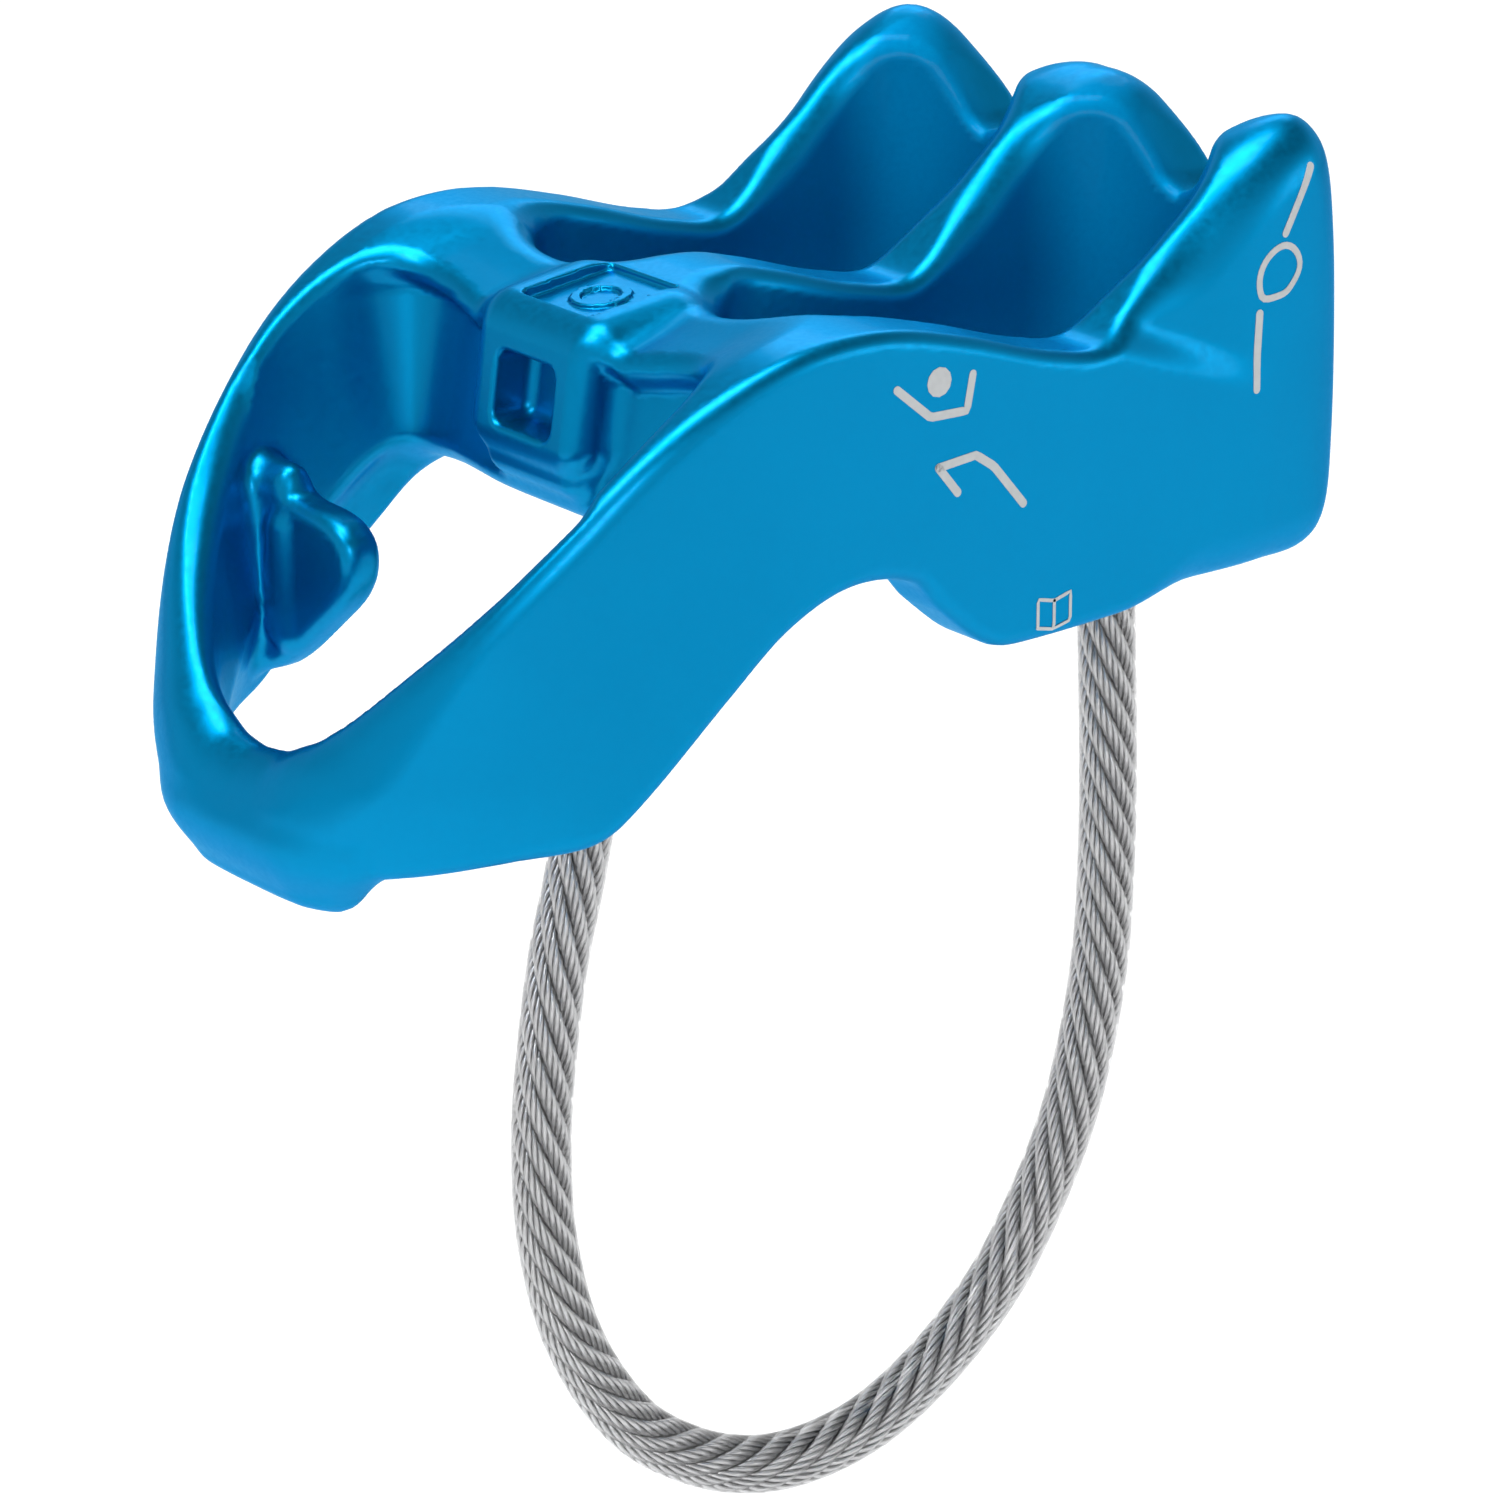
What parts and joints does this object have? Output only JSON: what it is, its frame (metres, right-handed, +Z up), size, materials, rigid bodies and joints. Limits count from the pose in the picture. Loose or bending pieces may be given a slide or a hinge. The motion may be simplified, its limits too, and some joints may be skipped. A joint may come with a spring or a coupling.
{
  "type": "belay device",
  "caption": "Forged aluminium tube-style belay device with two rope slots, V-grooved horns, an anchor eye and a wire-rope keeper loop.",
  "frame": {"origin": "centre of the anchor eye, where a carabiner holds the device", "axes": "+X from the eye towards the horns, +Y across the two rope slots, +Z up through the slots towards the horn tips"},
  "size_m": [0.0686, 0.039, 0.0853],
  "materials": {
    "blue_anodised": "satin anodised",
    "steel_rope": "drawn wire",
    "clear_jacket": "clear, slightly milky",
    "steel_sleeve": "swaged"
  },
  "bodies": {
    "body": {"forged_body": "blue_anodised", "crimp_sleeve_bridge": "steel_sleeve", "crimp_sleeve_end": "steel_sleeve"},
    "keeper_loop": {"wire_rope": "steel_rope", "clear_jacket": "clear_jacket"}
  },
  "joints": [
    {"name": "keeper_loop_flex", "type": "hinge", "parent": "body", "child": "keeper_loop", "pos_m": [0.0153, 0, -0.0004], "axis": [0.9911, 0, -0.1333], "range_deg": [-25, 25], "stiffness_Nm_per_rad": 0.05}
  ]
}
